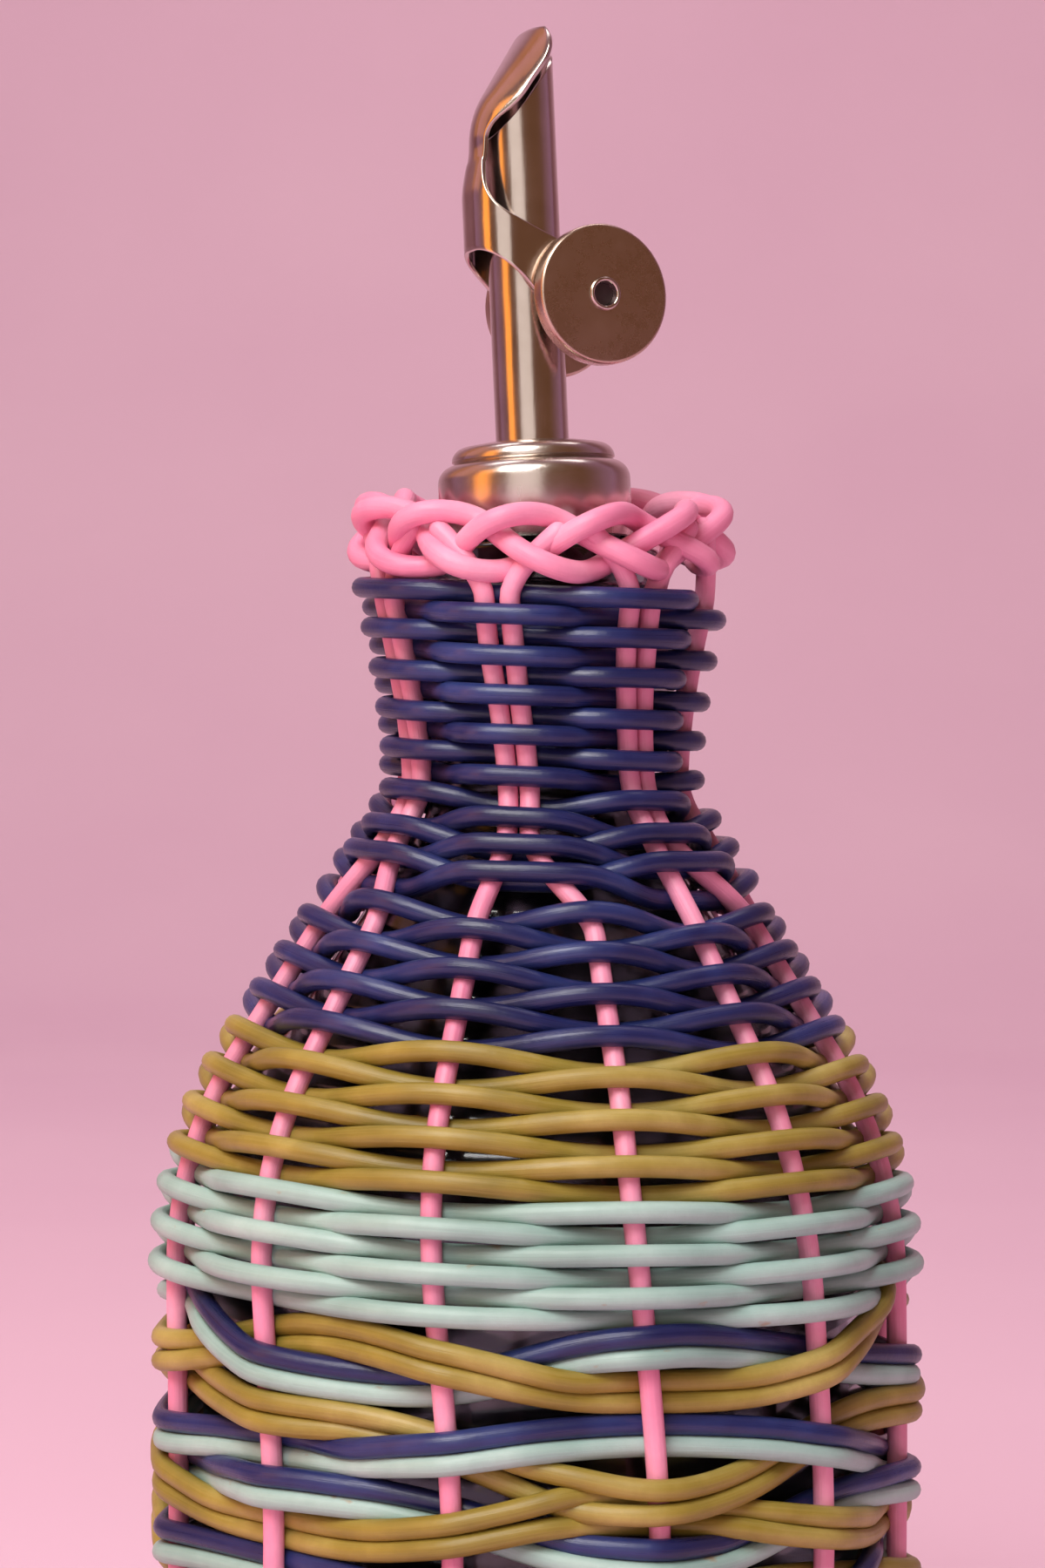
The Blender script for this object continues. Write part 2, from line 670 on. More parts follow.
def make_winding(name, first_row, end_row, samples, slot, node):
    """One colour's rows, from the back above the first row to the back above the end row."""
    first = tucked(first_row - 0.5, *CROSSINGS.T) + END_GAP
    last = tucked(end_row - 0.5, *CROSSINGS.T) - END_GAP
    turns = np.linspace(first, last, int((last - first) * samples) + 1)
    side = ease(turns, CROSSINGS[:, 0], CROSSINGS[:, 1])
    depth = row_depth(turns) - lift_at(turns) * side + wobble(turns)
    centre, outward = place(depth, 360 * turns, REACH * side)
    make_cord(name, tube(centre, outward, CORD), slot, node)
    return centre


# Waved band of two doubled cords
def passes(full, end, depth_at, shift):
    """Where a cord passes each stake in turn, in parts of a full turn, and on which side of it."""
    at, side = [], []
    for count in range(-SPARE_STAKES, end):
        turn, stake = divmod(count, STAKES)
        step = step_of(stake, STAKES, SINGLE_STAKE)
        near = full * (turn + (stake >= SINGLE_STAKE)) + full * step / STAKES
        a = float(stake_angle(stake, depth_at(near))) * (full / 360)
        at.append(a + full * round((near - a) / full))
        side.append(1 if (count + shift) % 2 == 0 else -1)
    return at, side


def wave_layout():
    """Centres of the four waved cords, with one pair over the other where they cross."""
    angle = np.arange(WAVE_START, WAVE_END, WAVE_STEP)
    pairs = {}
    for pair, route, shift in (("navy_mint", NAVY_MINT_ROUTE, 1), ("olive", OLIVE_ROUTE, 0)):
        depth = depth_of(flowing(angle, route))
        stops = passes(360, WAVE_TURNS * STAKES, lambda near: np.interp(near, angle, depth), shift)
        pairs[pair] = (depth, ease(angle, *stops))
    pushes = {pair: np.zeros_like(angle) for pair in pairs}
    weights = {pair: np.zeros_like(angle) for pair in pairs}
    for lap in range(-WAVE_TURNS, WAVE_TURNS + 1):
        there = angle + 360 * lap
        gap = pairs["navy_mint"][0] - np.interp(there, angle, pairs["olive"][0], left=np.nan, right=np.nan)
        lead = pairs["navy_mint"][1] - np.interp(there, angle, pairs["olive"][1])
        for i in np.nonzero(gap[:-1] * gap[1:] < 0)[0]:
            over = 1.0 if lead[i] > 0 else -1.0
            for pair, middle, sign in (("navy_mint", angle[i], over), ("olive", there[i], -over)):
                weight = smooth((CROSS_REACH - np.abs(angle - middle)) / CROSS_EASE)
                pushes[pair] = np.where(weight > weights[pair], sign, pushes[pair])
                weights[pair] = np.maximum(weight, weights[pair])
    cords = {}
    for name, pair, up in (("navy", "navy_mint", 1), ("mint", "navy_mint", -1),
                           ("olive_upper", "olive", 1), ("olive_lower", "olive", -1)):
        depth, side = pairs[pair]
        swing = side + (CROSS_SWING * pushes[pair] - side) * weights[pair]
        inside = np.nonzero(side < -0.97)[0]
        kept = slice(inside[0], inside[-1] + 1)
        depth = depth - up * (CORD - PAIR_SQUEEZE)
        cords[name] = place(depth[kept], angle[kept], (REACH * swing)[kept])
    return cords


def tree_of(points):
    tree = kdtree.KDTree(len(points))
    for i, p in enumerate(points):
        tree.insert(p, i)
    tree.balance()
    return tree


def settle(cords, fixed):
    """Push cords that cut into each other apart, a little at a time, keeping them smooth."""
    names = list(cords)
    start = {name: cords[name][0] for name in names}
    points = dict(start)
    owner = [(name, i) for name in names for i in range(len(start[name]))]
    reach = 2 * CORD - SETTLE_SQUEEZE
    still = tree_of(np.concatenate(fixed))
    for _ in range(SETTLE_ROUNDS):
        moving = tree_of(np.concatenate([points[name] for name in names]))
        moves = {name: np.zeros_like(points[name]) for name in names}
        for name, i in owner:
            here = points[name][i]
            for there, k, gap in moving.find_range(here, reach):
                if gap > 1e-6 and (owner[k][0] != name or abs(owner[k][1] - i) > NEIGHBOURS):
                    moves[name][i] += PUSH * (reach - gap) / gap * (here - np.array(there))
            for there, _, gap in still.find_range(here, reach):
                if gap > 1e-6:
                    moves[name][i] += FIXED_PUSH * (reach - gap) / gap * (here - np.array(there))
        for name in names:
            p = points[name] + moves[name] + PULL_BACK * (start[name] - points[name])
            for _ in range(SMOOTH_PASSES):
                p[1:-1] += SMOOTHING * (0.5 * (p[2:] + p[:-2]) - p[1:-1])
            r = np.hypot(p[:, 0], p[:, 1])
            p[:, :2] *= (np.maximum(r, BODY_RADIUS + CORD) / r)[:, None]
            points[name] = p
    return {name: (points[name], cords[name][1]) for name in names}


def stake_points():
    depth = np.arange(depth_of(WAVE_TOP), depth_of(WAVE_FOOT), STAKE_STEP)
    return np.concatenate([place(depth, stake_angle(s, depth), 0 * depth)[0] for s in range(STAKES)])


def make_waves(mint_rows):
    cords = settle(wave_layout(), [stake_points(), mint_rows[-MINT_NEAR_WAVES::2]])
    for name in ("navy", "mint", "olive_upper", "olive_lower"):
        slot = name.split("_")[0] + "_cord"
        make_cord(f"wave_cord_{name}", tube(*cords[name], CORD), slot, f"wave_weaver_{name}")


# Plain bands under the waves, down round the heel
def lower_band(colour, start, turns, shift):
    """One band of a number of turns from a depth down; gives the depth where the next one starts."""
    last = (turns + 1) * STAKES + SPARE_STAKES
    stops = passes(1, last, lambda near: start + ROW_PITCH * near, shift)
    begin = tucked(-0.5, *stops) + END_GAP
    end = tucked(turns - 0.5, *stops) - END_GAP
    along = np.linspace(begin, end, turns * BODY_SAMPLES)
    value = ease(along, *stops)
    depth = start + ROW_PITCH * (along + 0.5) - LOWER_LIFT * value + BODY_TILT * np.sin(2 * math.pi * along)
    centre, outward = place(np.minimum(depth, PATH_END - FOOT_GAP), 360 * along, REACH * value)
    cord = tube(centre, outward, CORD)
    make_cord(f"lower_{colour}_cord", cord, f"{colour}_cord", f"lower_{colour}_weaver")
    return start + ROW_PITCH * turns


def make_lower_bands():
    start = float(depth_of(LOWER_TOP))
    start = lower_band("mint", start, LOWER_MINT_TURNS, 0)
    start = lower_band("olive", start, LOWER_OLIVE_TURNS, 0)
    lower_band("navy", start, int((PATH_END - FOOT_ROOM - start) / ROW_PITCH), 1)


def make_rim():
    """Three strands that rise and fall a third of a wave apart and change places as they cross."""
    middle = neck_top_z - BRAID_SINK + BRAID_CORD + BRAID_RISE
    angle = 2 * math.pi * np.arange(180) / 180
    for strand in range(3):
        phase = BRAID_WAVES * (angle - radians(BRAID_TURN)) + math.pi / 6 + 2 * math.pi * strand / 3
        r = BRAID_RADIUS + BRAID_SWING * np.sin(2 * phase)
        z = middle + BRAID_RISE * np.sin(phase) + BRAID_TILT * (1 - np.cos(angle))
        centre = np.column_stack([r * np.sin(angle), -r * np.cos(angle), z])
        outward = np.column_stack([np.sin(angle), -np.cos(angle), 0 * angle])
        plait = tube(centre, outward, BRAID_CORD, looped=True)
        make_cord(f"rim_plait_{strand + 1}", plait, "pink_cord", f"rim_strand_{strand + 1}")


def make_base():
    """A flat coil of cord under the glass."""
    turn = np.linspace(0.6, (BASE_RADIUS - CORD) / ROW_PITCH, 900)
    r = ROW_PITCH * turn
    a = 2 * math.pi * turn
    centre = np.column_stack([r * np.sin(a), -r * np.cos(a), np.full_like(r, CORD + 0.01)])
    upward = np.tile([0.0, 0.0, 1.0], (len(centre), 1))
    make_cord("base_coil", tube(centre, upward, CORD), "pink_cord", "woven_base")


def make_glass():
    inner_heel = max(1.0, HEEL_RADIUS - GLASS_WALL)
    floor_z = glass_bottom + GLASS_FLOOR
    inner_cone_r = BODY_RADIUS - shoulder_drop - GLASS_WALL * math.cos(slope)
    inner_cone_z = cone_z - GLASS_WALL * math.sin(slope)
    profile = np.concatenate([
        [[0, glass_bottom]],
        arc(BODY_RADIUS - HEEL_RADIUS, heel_z, HEEL_RADIUS, -90, 0, 10),
        arc(BODY_RADIUS - SHOULDER_RADIUS, shoulder_z, SHOULDER_RADIUS, 0, SHOULDER_SLOPE, 14),
        arc(NECK_RADIUS + NECK_FILLET, waist_z, NECK_FILLET, 180 + SHOULDER_SLOPE, 180 - NECK_FLARE, 12),
        [[neck_top_radius, neck_top_z]],
        arc(lip_radius - LIP_ROUND, neck_top_z + LIP_ROUND, LIP_ROUND, -90, 0, 5),
        arc(lip_radius - LIP_ROUND, mouth_z - LIP_ROUND, LIP_ROUND, 0, 90, 5),
        arc(BORE_RADIUS + LIP_ROUND, mouth_z - LIP_ROUND, LIP_ROUND, 90, 180, 5),
        [[BORE_RADIUS, inner_cone_z + (inner_cone_r - BORE_RADIUS) / math.tan(slope)]],
        arc(BODY_RADIUS - SHOULDER_RADIUS, shoulder_z, SHOULDER_RADIUS - GLASS_WALL, SHOULDER_SLOPE, 0, 12),
        arc(BODY_RADIUS - GLASS_WALL - inner_heel, floor_z + inner_heel, inner_heel, 0, -90, 8),
        [[0, floor_z]],
    ])
    bottle = lathe(profile, 96, ring=False)
    make_solid("bottle_glass", [bottle], GLASS_SHARP, "bottle", GLASS, "glass_bottle")


make_stakes()
make_winding("neck_cord_navy", 0, NECK_ROWS, NECK_SAMPLES, "navy_cord", "neck_weaver_navy")
make_winding("shoulder_cord_navy", NECK_ROWS, OLIVE_FROM, BODY_SAMPLES, "navy_cord", "shoulder_weaver_navy")
make_winding("olive_cord_rows", OLIVE_FROM, MINT_FROM, BODY_SAMPLES, "olive_cord", "olive_weaver")
mint_rows = make_winding("mint_cord_rows", MINT_FROM, MINT_END, BODY_SAMPLES, "mint_cord", "mint_weaver")
make_waves(mint_rows)
make_lower_bands()
make_rim()
make_base()
make_glass()

# Pourer, in its own leaning and turned frame, in millimetres and degrees
POURER = (Matrix.Translation((0, 0, mouth_z - LEAN_DEPTH)) @ Matrix.Rotation(-radians(POURER_LEAN), 4, "Y")
          @ Matrix.Translation((0, 0, LEAN_DEPTH)) @ Matrix.Rotation(radians(POURER_TURN), 4, "Z"))
CAP_RADIUS = 13.8
CAP_HEIGHT = 14.2
CAP_STEP_RADIUS = 11.7
CAP_STEP_HEIGHT = 3.0
CAP_ROUND = 2.6
CAP_STEP_ROUND = 2.0
CAP_GROOVE = 0.5
CAP_SHEET = 0.9
STOPPER_CORE = 8.6
STOPPER_DEPTH = 23.0
STOPPER_FINS = 4
FIN_THICKNESS = 1.6
FIN_RAKE = 1.2
FLANGE_GAP = 0.8
FLANGE_HEIGHT = 8.0
TUBE_RADIUS = 5.25
TUBE_WALL = 0.65
TUBE_TAIL = 3.0
SPOUT_RISE = 20.2
CUT_RISE = 29.3
CUT_SLOPE = 50.0
VENT_RADIUS = 1.5
VENT_WALL = 0.5
VENT_TAIL = 9.0
VENT_RISE = 12.0
SHEET = 0.8
SHEET_EDGE = 0.18
EAR_GAP = 0.4
CHANNEL_GAP = 2.4
CHANNEL_CORNER = 5.0
LIP_RISE = 7.0
LIP_SLOPE = 0.75
LIP_CURVE = 0.03
EAR_TOP = 10.7
EAR_TOP_SLOPE = 0.45
EAR_DROP = 5.0
EAR_REACH = 11.2
EAR_END = 3.0
EAR_END_LIFT = 0.4
EAR_TOP_AT = 0.8
SCALLOP = 0.6
WAIST_HALF = 2.6
WAIST_RISE = 19.5
WAIST_INSET = 1.2
INSET_RUN = 5.0
LID_BEND_RISE = 22.4
LID_BEND_RADIUS = 12.0
LID_SLOPE = 54.0
LID_LENGTH = 11.6
# Half width of the lid, and the radius of its crown, at shares of its run from the waist to the tip
LID_HALVES = ((0.0, WAIST_HALF), (0.18, 2.9), (0.4, 6.3), (0.6, 7.6), (0.82, 8.2), (0.94, 6.7), (1.0, 4.8))
LID_CROWNS = ((0.0, 9.0), (0.15, 7.2), (0.35, 7.2), (0.7, 14.0), (1.0, 20.0))
# Pivot, counterweights and eyelets
PIVOT_BACK = 2.5
STUD_RADIUS = 1.2
DISC_RADIUS = 10.0
DISC_THICKNESS = 2.8
DISC_BACK = 7.8
DISC_BEVEL = 0.5
EYELET_RADIUS = 1.95
EYELET_BORE = 1.55
EYELET_ROLL = 0.34

lean_share = math.sin(radians(POURER_LEAN))
cap_z = CLEARANCE + CAP_RADIUS * lean_share
cap_top = cap_z + CAP_HEIGHT
step_z = cap_top - CAP_STEP_HEIGHT
cap_inner = CAP_RADIUS - CAP_SHEET
tube_hole = TUBE_RADIUS + CLEARANCE
tube_inner = TUBE_RADIUS - TUBE_WALL
tube_bottom = -STOPPER_DEPTH - TUBE_TAIL
pivot_z = cap_top + SPOUT_RISE
disc_in = TUBE_RADIUS + EAR_GAP + SHEET + CLEARANCE
disc_out = disc_in + DISC_THICKNESS


def sideways(back, side):
    """Frame of a piece that stands out to one side of the spout, some way behind its axis."""
    stand = Matrix.Translation((back, 0, pivot_z)) @ Matrix.Rotation(-side * 0.5 * math.pi, 4, "X")
    return POURER @ stand


def make_cap():
    """A pressed cap; the small offsets ease its edges."""
    groove_r = CAP_STEP_RADIUS - CAP_GROOVE
    profile = np.concatenate([
        [[cap_inner, cap_z + 0.2], [cap_inner + 0.2, cap_z]],
        [[CAP_RADIUS - 0.2, cap_z], [CAP_RADIUS, cap_z + 0.25]],
        arc(CAP_RADIUS - CAP_ROUND, step_z - CAP_ROUND, CAP_ROUND, 0, 78, 12),
        [[groove_r + 0.25, step_z - 0.05], [groove_r, step_z + 0.12]],
        [[CAP_STEP_RADIUS - 0.12, step_z + 0.42]],
        arc(CAP_STEP_RADIUS - CAP_STEP_ROUND, cap_top - 0.5 - CAP_STEP_ROUND, CAP_STEP_ROUND, 0, 78, 10),
        [[tube_hole + 1.8, cap_top - 0.08], [tube_hole + 0.9, cap_top]],
        [[tube_hole + 0.2, cap_top - 0.25], [tube_hole, cap_top - 0.45]],
        [[tube_hole, cap_top - CAP_SHEET], [CAP_STEP_RADIUS - 2.4, cap_top - 1.5 * CAP_SHEET]],
        [[groove_r - CAP_SHEET, step_z - 0.5 * CAP_SHEET], [cap_inner, step_z - CAP_ROUND]],
    ])
    cap = lathe(profile, 128, matrix=POURER)
    make_solid("pourer_cap", [cap], STEEL_SHARP, "pourer", CAP_STEEL, "steel_cap")


def make_stopper():
    """A rubber core with raked fins, and a flange under the cap."""
    fin_radius = BORE_RADIUS - CLEARANCE - max(LEAN_DEPTH, STOPPER_DEPTH - LEAN_DEPTH) * lean_share
    flange_top = min(cap_z + FLANGE_HEIGHT, step_z - CAP_ROUND - CLEARANCE)
    flange_radius = cap_inner - FLANGE_GAP
    profile = [[tube_hole, flange_top], [tube_hole, -STOPPER_DEPTH]]
    profile += [[STOPPER_CORE - FIN_RAKE, -STOPPER_DEPTH]]
    for fin in range(STOPPER_FINS):
        z = -STOPPER_DEPTH + (fin + 0.5) * STOPPER_DEPTH / (STOPPER_FINS + 0.5)
        profile += [[STOPPER_CORE - 0.05, z - 0.3], [STOPPER_CORE + 0.25, z]]
        profile += [[fin_radius - 0.2, z + FIN_RAKE - 0.1], [fin_radius, z + FIN_RAKE + 0.2]]
        profile += [[fin_radius - 0.1, z + FIN_RAKE + 0.4 * FIN_THICKNESS]]
        profile += [[STOPPER_CORE + 0.2, z + FIN_THICKNESS], [STOPPER_CORE, z + FIN_THICKNESS + 0.3]]
    profile += [[STOPPER_CORE, cap_z], [flange_radius - 0.3, cap_z]]
    profile += [[flange_radius, cap_z + 0.3], [flange_radius, flange_top]]
    stopper = lathe(profile, 72, matrix=POURER)
    make_solid("pourer_stopper", [stopper], RUBBER_SHARP, "pourer", RUBBER, "stopper")


def make_spout():
    """Rings of the tube's wall, the top ones on the slanted cut with a rounded rim, and two pivot studs."""
    steps = 96
    around = 2 * math.pi * np.arange(steps) / steps
    cut = pivot_z + CUT_RISE + TUBE_RADIUS * np.cos(around) * math.tan(radians(CUT_SLOPE))
    edge = 0.15
    levels = [(tube_inner, tube_bottom + edge), (tube_inner + edge, tube_bottom)]
    levels += [(TUBE_RADIUS - edge, tube_bottom), (TUBE_RADIUS, tube_bottom + edge)]
    levels += [(TUBE_RADIUS, tube_bottom + share * (cut - tube_bottom)) for share in (0.25, 0.5, 0.75, 0.9)]
    levels += [(TUBE_RADIUS, cut - edge), (TUBE_RADIUS - edge, cut)]
    levels += [(tube_inner + edge, cut), (tube_inner, cut - edge)]
    levels += [(tube_inner, tube_bottom + share * (cut - tube_bottom)) for share in (0.75, 0.5, 0.25)]
    rings = [np.column_stack([r * np.cos(around), r * np.sin(around), z + 0 * around]) for r, z in levels]
    faces, uvs = [], []
    for i in range(len(rings)):
        j = (i + 1) % len(rings)
        for k in range(steps):
            m = (k + 1) % steps
            faces.append((i * steps + k, i * steps + m, j * steps + m, j * steps + k))
            uvs += [(k / steps, 0.05 * i), ((k + 1) / steps, 0.05 * i)]
            uvs += [((k + 1) / steps, 0.05 * i + 0.05), (k / steps, 0.05 * i + 0.05)]
    parts = [(np.array([POURER @ Vector(v) for v in np.concatenate(rings)]), faces, uvs)]
    stud_start = math.sqrt(tube_inner**2 - PIVOT_BACK**2) + 0.1
    stud_end = disc_in - CLEARANCE
    stud = [[0, stud_start], [STUD_RADIUS, stud_start], [STUD_RADIUS, stud_end - 0.2]]
    stud += [[STUD_RADIUS - 0.2, stud_end], [0, stud_end]]
    for side in (-1, 1):
        parts.append(lathe(stud, 32, ring=False, matrix=sideways(PIVOT_BACK, side)))
    make_solid("pourer_spout", parts, STEEL_SHARP, "pourer", TUBE_STEEL, "pour_tube")


def make_vent():
    inner = VENT_RADIUS - VENT_WALL
    bottom = tube_bottom - VENT_TAIL
    top = pivot_z + VENT_RISE
    back = Matrix.Translation((tube_inner - CLEARANCE - VENT_RADIUS, 0, 0))
    profile = [[inner, bottom], [VENT_RADIUS, bottom], [VENT_RADIUS, top], [inner, top]]
    vent = lathe(profile, 32, matrix=POURER @ back)
    make_solid("pourer_air_pipe", [vent], STEEL_SHARP, "pourer", TUBE_STEEL, "vent_tube")


# Flap: the middle surface of the sheet as a fine grid, given its thickness and eased edges
channel_half = TUBE_RADIUS + EAR_GAP + 0.5 * SHEET
channel_front = -(TUBE_RADIUS + CHANNEL_GAP + 0.5 * SHEET)
lid_front = channel_front + WAIST_INSET
flat_half = channel_half - CHANNEL_CORNER
quarter = flat_half + 0.5 * math.pi * CHANNEL_CORNER
ear_span = quarter + EAR_REACH - (channel_front + CHANNEL_CORNER)
lid_slope = radians(LID_SLOPE)
bend_sweep = 0.5 * math.pi - lid_slope


def corner_turn(s):
    return min(max(abs(s) - flat_half, 0.0), quarter - flat_half) / CHANNEL_CORNER


def side_at(s):
    return math.copysign(min(abs(s), flat_half) + CHANNEL_CORNER * math.sin(corner_turn(s)), s)


def back_at(s):
    return CHANNEL_CORNER * (1 - math.cos(corner_turn(s))) + max(abs(s) - quarter, 0.0)


def low_edge(s):
    dropped = max(LIP_RISE - LIP_SLOPE * back_at(s) - LIP_CURVE * back_at(s) ** 2, -EAR_DROP)
    end = max(0.0, (abs(s) - (ear_span - EAR_END)) / EAR_END)
    return dropped * (1 - EAR_END_LIFT * end**2)


def ear_top(s):
    return EAR_TOP - EAR_TOP_SLOPE * (back_at(s) - EAR_TOP_AT * channel_half)


def high_edge(s):
    if abs(s) <= WAIST_HALF + 1e-6:
        return WAIST_RISE
    scallop = math.exp(-(abs(s) - WAIST_HALF) / (SCALLOP * WAIST_HALF))
    return ear_top(s) + (WAIST_RISE - ear_top(WAIST_HALF)) * scallop


def inset_at(z):
    """How far the sheet has drawn in towards the spout between the channel and the lid."""
    run = LID_BEND_RISE - WAIST_RISE + INSET_RUN
    return WAIST_INSET * float(smooth((z - WAIST_RISE + INSET_RUN) / run))


def lid_rows():
    """Rows of the waist, the bend and the lid: place, lean, half width and crown."""
    line = []
    for part in np.linspace(0.15, 1, 7):
        z = WAIST_RISE + (LID_BEND_RISE - WAIST_RISE) * part
        line.append((channel_front + inset_at(z), z, 0.5 * math.pi))
    for part in np.linspace(0, 1, 13)[1:]:
        turn = bend_sweep * part
        x = lid_front + LID_BEND_RADIUS * (1 - math.cos(turn))
        line.append((x, LID_BEND_RISE + LID_BEND_RADIUS * math.sin(turn), 0.5 * math.pi - turn))
    x, z, _ = line[-1]
    for run in np.linspace(0, LID_LENGTH, 17)[1:]:
        line.append((x + run * math.cos(lid_slope), z + run * math.sin(lid_slope), lid_slope))
    line = np.array(line)
    run = np.concatenate([[0], np.cumsum(np.hypot(np.diff(line[:, 0]), np.diff(line[:, 1])))])
    halves = flowing(run / run[-1], LID_HALVES)
    crowns = flowing(run / run[-1], LID_CROWNS)
    return np.column_stack([line, halves, crowns])


def make_flap():
    waist = np.linspace(-WAIST_HALF, WAIST_HALF, 15)
    bend = WAIST_HALF + (quarter - WAIST_HALF) * np.linspace(0, 1, 17)[1:] ** 1.4
    flank = np.concatenate([bend, np.linspace(quarter, ear_span, 13)[1:]])
    columns = np.concatenate([-flank[::-1], waist, flank])
    rows = 14
    points, faces = [], []
    for s in columns:
        for row in range(rows + 1):
            z = low_edge(s) + (high_edge(s) - low_edge(s)) * row / rows
            points.append((channel_front + back_at(s) + inset_at(z), side_at(s), pivot_z + z))
    for i in range(len(columns) - 1):
        for row in range(rows):
            a = i * (rows + 1) + row
            faces.append((a, a + rows + 1, a + rows + 2, a + 1))
    below = [i * (rows + 1) + rows for i in range(len(flank), len(flank) + len(waist))]
    for x, z, angle, half, crown in lid_rows():
        row = []
        for u in np.linspace(-1, 1, len(waist)):
            turn = u * half / crown
            sink = crown * (1 - math.cos(turn))
            row.append(len(points))
            height = pivot_z + z - sink * math.cos(angle)
            points.append((x + sink * math.sin(angle), crown * math.sin(turn), height))
        for i in range(len(waist) - 1):
            faces.append((below[i], below[i + 1], row[i + 1], row[i]))
        below = row
    flap = add_mesh("pourer_flap", [tuple((POURER @ Vector(p)) * MM) for p in points], faces)
    thick = flap.modifiers.new("thickness", "SOLIDIFY")
    thick.thickness = SHEET * MM
    thick.offset = 0.0
    eased = flap.modifiers.new("edge", "BEVEL")
    eased.width = SHEET_EDGE * MM
    eased.segments = 2
    eased.limit_method = "ANGLE"
    eased.angle_limit = radians(50)
    dress(flap, "flap", SHEET_STEEL, "flap")


def make_weights():
    """Counterweights on the outer faces of the ears, each held by a rolled eyelet with a dark bottom."""
    hole = EYELET_RADIUS + CLEARANCE
    disc_profile = np.concatenate([
        [[hole, disc_in]],
        arc(DISC_RADIUS - DISC_BEVEL, disc_in + DISC_BEVEL, DISC_BEVEL, -90, 0, 6),
        arc(DISC_RADIUS - DISC_BEVEL, disc_out - DISC_BEVEL, DISC_BEVEL, 0, 90, 6),
        [[hole + 0.15, disc_out], [hole, disc_out - 0.15]],
    ])
    ear = TUBE_RADIUS + EAR_GAP
    roll_z = disc_out + 0.03
    eyelet_profile = np.concatenate([
        [[EYELET_BORE, ear], [EYELET_RADIUS, ear], [EYELET_RADIUS, roll_z]],
        arc(EYELET_RADIUS + 0.12, roll_z + 0.1, EYELET_ROLL, -10, 180, 12),
        [[EYELET_BORE, roll_z - 0.4]],
    ])
    plug = EYELET_BORE - 0.03
    bottom_profile = [[0, ear + 0.1], [plug, ear + 0.1], [plug, roll_z - 0.6], [0, roll_z - 0.6]]
    for where, side in (("near", -1), ("far", 1)):
        stand = sideways(DISC_BACK, side)
        disc = lathe(disc_profile, 128, matrix=stand)
        eyelet = lathe(eyelet_profile, 48, matrix=stand)
        bottom = lathe(bottom_profile, 32, ring=False, matrix=stand)
        for name, part, material, node in (
            ("weight_disc", disc, DISC_STEEL, "counterweight"),
            ("weight_eyelet", eyelet, SHEET_STEEL, "eyelet"),
            ("weight_eyelet_bottom", bottom, DARK_STEEL, "eyelet"),
        ):
            make_solid(f"{name}_{where}", [part], STEEL_SHARP, "flap", material, f"{node}_{where}")


make_cap()
make_stopper()
make_spout()
make_vent()
make_flap()
make_weights()

# Floor, light and camera, in metres
FLOOR_FRONT = -4.0
FLOOR_BACK = 1.4
FLOOR_HALF = 5.0
BACKDROP_TOP = 5.0
FRONT_GLOW = (0.20, 0.092, 0.048, 1)
BACK_GLOW = (0.42, 0.21, 0.34, 1)
MIDDLE = (0.0, 0.0, 0.13)
UPPER = (0.0, 0.0, 0.2)


def make_floor():
    """A pale floor that curves up into a backdrop, on a radius of one metre."""
    m = Nodes("floor_look")
    cloud = m.noise(m.coords.outputs["Object"], 3.0, 3.0)
    m.set(Base_Color=m.ramp(cloud, [(0.3, srgb(228, 190, 212)), (0.7, srgb(232, 196, 216))]), Roughness=0.9)
    sweep = [(FLOOR_FRONT, 0.0), (FLOOR_BACK, 0.0)]
    for a in np.radians(np.linspace(-90, 0, 17)):
        sweep.append((FLOOR_BACK + math.cos(a), 1.0 + math.sin(a)))
    sweep.append((FLOOR_BACK + 1.0, BACKDROP_TOP))
    verts, faces = [], []
    for y, z in sweep:
        verts += [(-FLOOR_HALF, y, z), (FLOOR_HALF, y, z)]
    for i in range(len(sweep) - 1):
        faces.append((2 * i, 2 * i + 1, 2 * i + 3, 2 * i + 2))
    floor = add_mesh("floor", verts, faces)
    floor.data.materials.append(m.material)


def area_light(name, spot, aim, size, power, colour):
    data = bpy.data.lights.new(name, "AREA")
    data.shape = "RECTANGLE"
    data.size, data.size_y = size
    data.energy = power
    data.color = colour
    obj = bpy.data.objects.new(name, data)
    obj.location = spot
    obj.rotation_euler = (Vector(aim) - Vector(spot)).to_track_quat("-Z", "Y").to_euler()
    bpy.context.scene.collection.objects.link(obj)


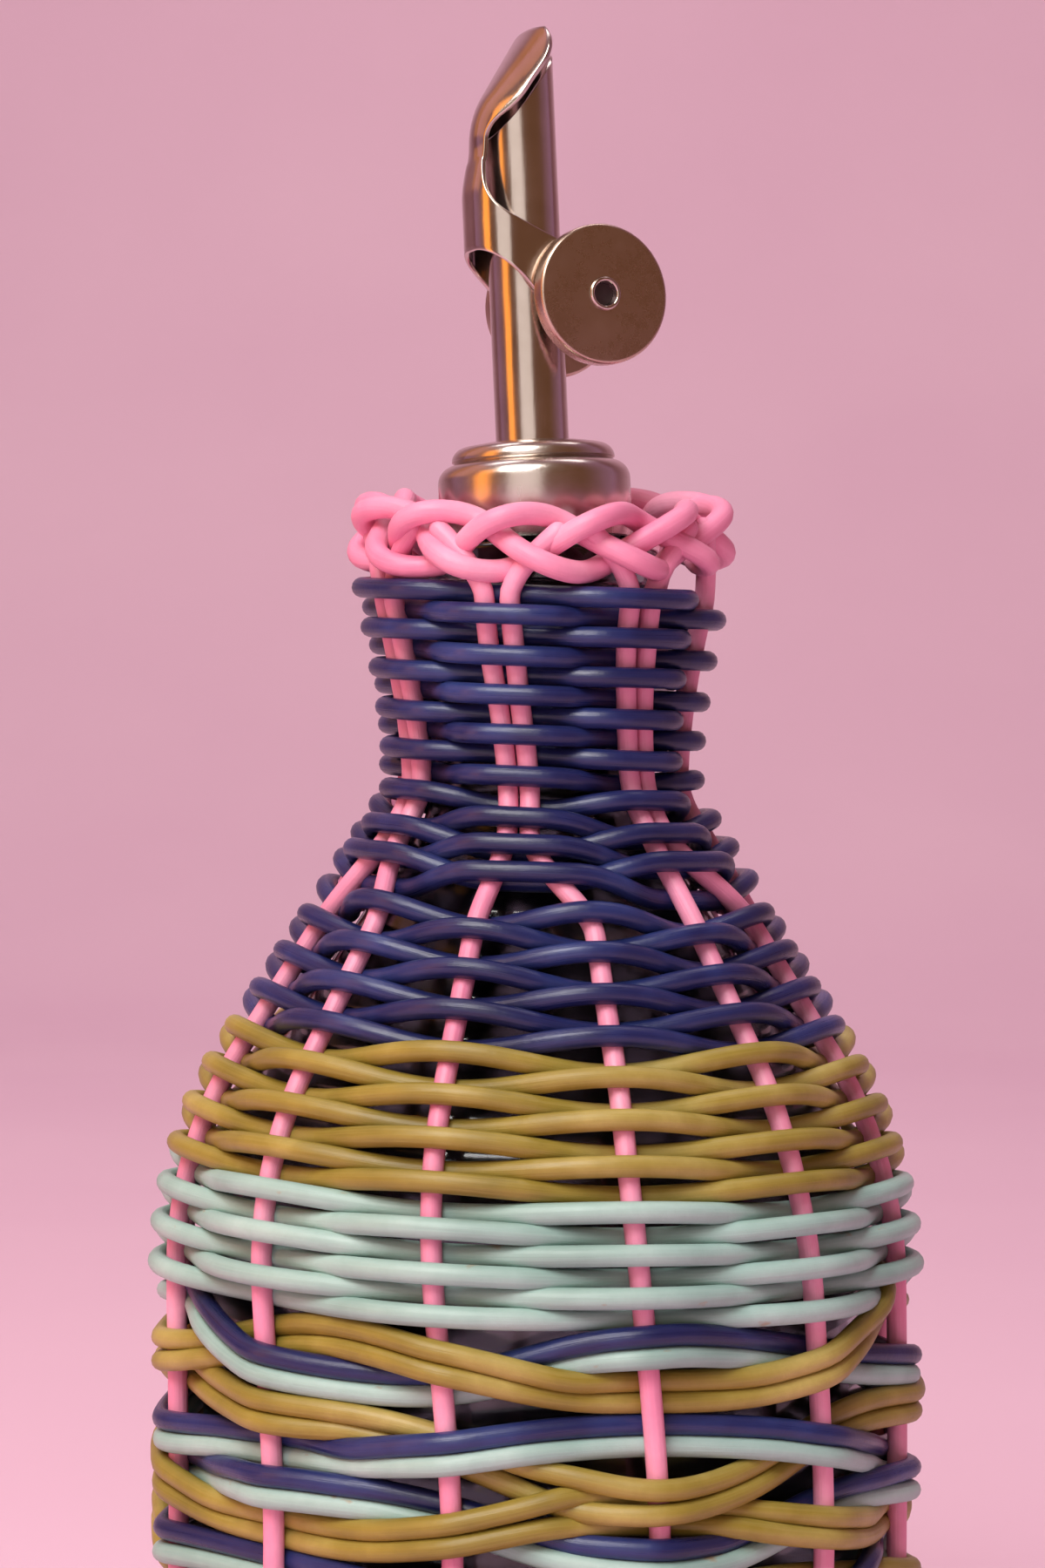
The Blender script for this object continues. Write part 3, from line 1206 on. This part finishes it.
def make_world():
    """Soft surroundings: pink behind, dim and warm in front."""
    world = bpy.data.worlds.new("studio")
    world.use_nodes = True
    bpy.context.scene.world = world
    tree = world.node_tree
    coords = tree.nodes.new("ShaderNodeTexCoord")
    split = tree.nodes.new("ShaderNodeSeparateXYZ")
    ramp = tree.nodes.new("ShaderNodeValToRGB")
    spread = tree.nodes.new("ShaderNodeMapRange")
    spread.inputs["From Min"].default_value = -1.0
    tree.links.new(coords.outputs["Generated"], split.inputs[0])
    tree.links.new(split.outputs["Y"], spread.inputs["Value"])
    tree.links.new(spread.outputs["Result"], ramp.inputs["Fac"])
    for element, at, colour in zip(ramp.color_ramp.elements, (0.30, 0.70), (FRONT_GLOW, BACK_GLOW)):
        element.position = at
        element.color = colour
    tree.links.new(ramp.outputs["Color"], tree.nodes["Background"].inputs["Color"])


make_floor()
make_world()
area_light("key", (-0.40, -0.85, 1.15), MIDDLE, (0.8, 0.8), 20.0, (1.0, 0.98, 0.96))
area_light("front", (-0.26, -1.25, 0.30), UPPER, (0.92, 1.0), 2.8, (1.0, 0.97, 0.95))
area_light("warm", (-0.66, -0.31, 0.30), UPPER, (0.26, 0.9), 1.6, (1.0, 0.34, 0.04))
area_light("amber", (-0.75, 0.25, 0.75), UPPER, (0.7, 0.7), 0.7, (1.0, 0.40, 0.10))
area_light("backdrop", (0.0, 0.6, 2.6), (0.0, 2.4, 0.9), (2.5, 1.0), 34.0, (1.0, 0.95, 0.97))

scene = bpy.context.scene
scene.view_settings.view_transform = "Standard"
scene.view_settings.look = "None"

# The photograph's frame is 1200 by 1800 pixels; its eye level and the bottle's axis in it
PHOTO_WIDTH = 1200.0
PHOTO_HEIGHT = 1800.0
FOCAL_PIXELS = 3950.0
EYE_ROW = 870.0
AXIS_COLUMN = 619.5
EYE = (0.0, -0.494, 0.160)
ROLL = 0.49
SENSOR = 36.0
camera_data = bpy.data.cameras.new("camera")
camera_data.sensor_fit = "AUTO"
camera_data.sensor_width = SENSOR
camera_data.lens = SENSOR * FOCAL_PIXELS / PHOTO_HEIGHT
camera = bpy.data.objects.new("camera", camera_data)
scene.collection.objects.link(camera)
yaw = math.atan((AXIS_COLUMN - 0.5 * PHOTO_WIDTH) / FOCAL_PIXELS)
pitch = math.atan((0.5 * PHOTO_HEIGHT - EYE_ROW) / FOCAL_PIXELS)
aim = Matrix.Rotation(yaw, 4, "Z") @ Matrix.Rotation(0.5 * math.pi - pitch, 4, "X")
camera.matrix_world = Matrix.Translation(EYE) @ aim @ Matrix.Rotation(radians(ROLL), 4, "Z")
scene.camera = camera
